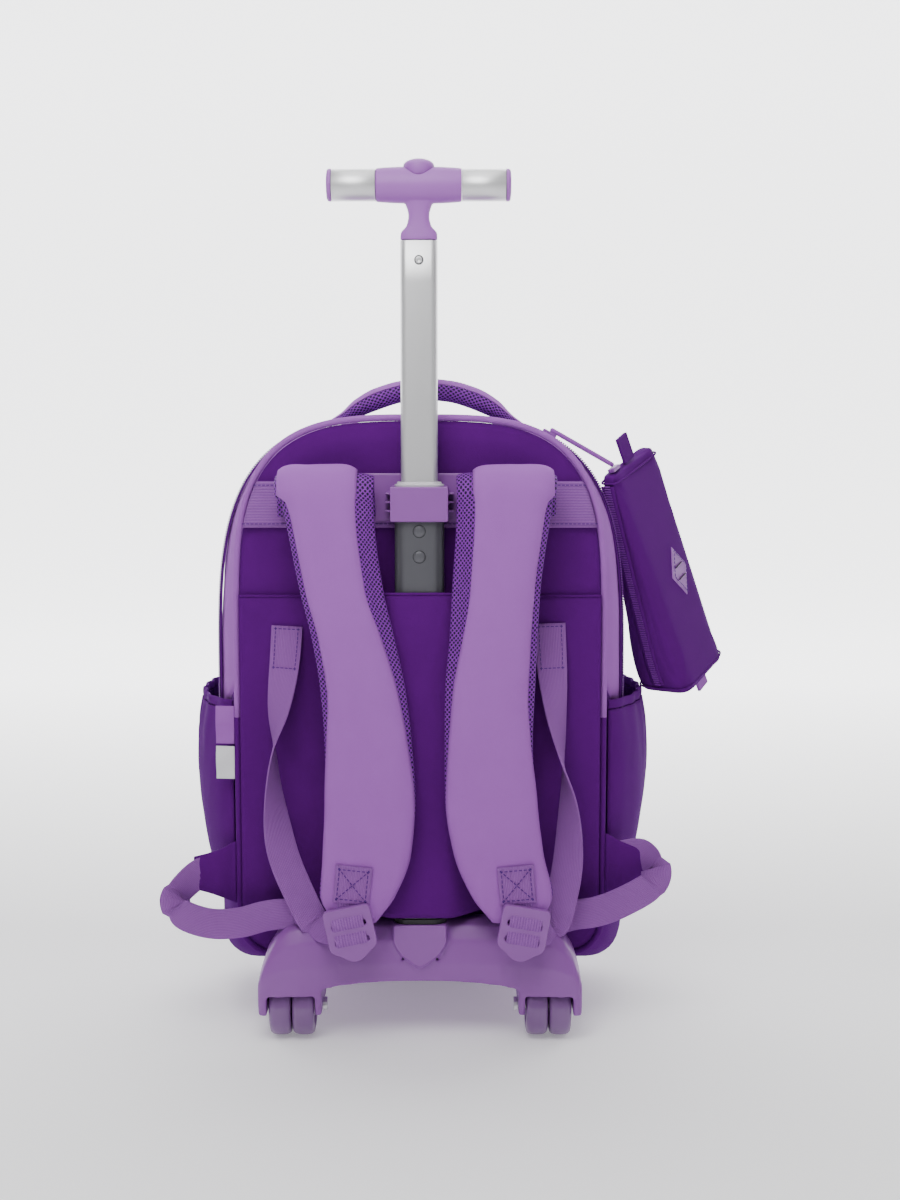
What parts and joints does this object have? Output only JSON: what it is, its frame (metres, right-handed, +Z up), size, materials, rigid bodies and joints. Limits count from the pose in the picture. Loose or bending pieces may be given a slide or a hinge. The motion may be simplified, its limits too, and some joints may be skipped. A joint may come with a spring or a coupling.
{
  "type": "wheeled backpack",
  "caption": "School backpack on a wheeled base, with a telescoping T-grip pull handle, padded shoulder straps, side pockets, a carry handle and a hanging pencil case.",
  "frame": {"origin": "centre of the front foot's flat underside, on the floor", "axes": "+Z up, +X right as seen from the strap side, +Y from the straps to the bag's front"},
  "size_m": [0.4751, 0.26, 0.697],
  "materials": {
    "violet_cloth": "woven",
    "lavender_cloth": "woven",
    "violet_mesh": "knitted air mesh",
    "lavender_plastic": "satin",
    "silver_tube": "satin anodised",
    "grey_tube": "satin anodised",
    "clear_plastic": "translucent",
    "black_rubber": "matte",
    "white_tape": "satin"
  },
  "bodies": {
    "bag": {"bag_shell": "violet_cloth", "back_panel": "violet_cloth", "back_piping": "lavender_cloth", "main_zip": "lavender_cloth", "main_zip_slider": "lavender_plastic", "cover_panel": "violet_cloth", "load_band": "lavender_cloth", "bracket_plate": "lavender_plastic", "tube_collar": "lavender_plastic", "outer_tube": "grey_tube", "lock_pin_upper": "grey_tube", "lock_pin_lower": "grey_tube", "tube_ring": "black_rubber", "wheel_base": "lavender_plastic", "front_foot": "lavender_plastic", "carry_handle": "lavender_cloth", "carry_handle_mesh": "violet_mesh", "loop_label": "lavender_cloth", "care_label": "white_tape", "pouch_shell": "violet_cloth", "pouch_zip": "violet_cloth", "pouch_slider": "lavender_plastic", "pouch_patch": "lavender_plastic", "pouch_top_tab": "violet_cloth", "pouch_end_tab": "lavender_cloth", "pull_loop": "lavender_cloth", "strap_pad_left": "violet_mesh", "strap_face_left": "lavender_cloth", "strap_tab_left": "lavender_cloth", "strap_buckle_left": "lavender_plastic", "tail_webbing_left": "lavender_cloth", "anchor_webbing_left": "lavender_cloth", "anchor_triangle_left": "violet_cloth", "side_pocket_left": "violet_cloth", "pocket_hem_left": "violet_cloth", "wheel_axle_left": "silver_tube", "strap_pad_right": "violet_mesh", "strap_face_right": "lavender_cloth", "strap_tab_right": "lavender_cloth", "strap_buckle_right": "lavender_plastic", "tail_webbing_right": "lavender_cloth", "anchor_webbing_right": "lavender_cloth", "anchor_triangle_right": "violet_cloth", "side_pocket_right": "violet_cloth", "pocket_hem_right": "violet_cloth", "wheel_axle_right": "silver_tube"},
    "middle_stage": {"middle_tube": "silver_tube", "tube_bush": "clear_plastic"},
    "handle": {"inner_tube": "silver_tube", "tube_screw": "silver_tube", "grip_body": "lavender_plastic", "grip_sleeve_left": "silver_tube", "grip_sleeve_right": "silver_tube", "grip_cap_left": "lavender_plastic", "grip_cap_right": "lavender_plastic"},
    "button": {"grip_button": "lavender_plastic"},
    "wheel_left_inner": {"wheel_left_inner": "lavender_plastic"},
    "wheel_left_outer": {"wheel_left_outer": "lavender_plastic"},
    "wheel_right_inner": {"wheel_right_inner": "lavender_plastic"},
    "wheel_right_outer": {"wheel_right_outer": "lavender_plastic"}
  },
  "joints": [
    {"name": "middle_slide", "type": "slide", "parent": "bag", "child": "middle_stage", "axis": [0, 0, 1], "range_m": [0, 0.185]},
    {"name": "handle_slide", "type": "slide", "parent": "middle_stage", "child": "handle", "axis": [0, 0, 1], "range_m": [-0.185, 0]},
    {"name": "button_press", "type": "slide", "parent": "handle", "child": "button", "axis": [0, 0, 1], "range_m": [-0.004, 0], "stiffness_N_per_m": 600, "springref_m": 0.001},
    {"name": "wheel_left_inner_spin", "type": "hinge", "parent": "bag", "child": "wheel_left_inner", "pos_m": [-0.0941, -0.18, 0.025], "axis": [1, 0, 0], "continuous": true},
    {"name": "wheel_left_outer_spin", "type": "hinge", "parent": "bag", "child": "wheel_left_outer", "pos_m": [-0.1127, -0.18, 0.025], "axis": [1, 0, 0], "continuous": true},
    {"name": "wheel_right_inner_spin", "type": "hinge", "parent": "bag", "child": "wheel_right_inner", "pos_m": [0.0941, -0.18, 0.025], "axis": [1, 0, 0], "continuous": true},
    {"name": "wheel_right_outer_spin", "type": "hinge", "parent": "bag", "child": "wheel_right_outer", "pos_m": [0.1127, -0.18, 0.025], "axis": [1, 0, 0], "continuous": true}
  ]
}
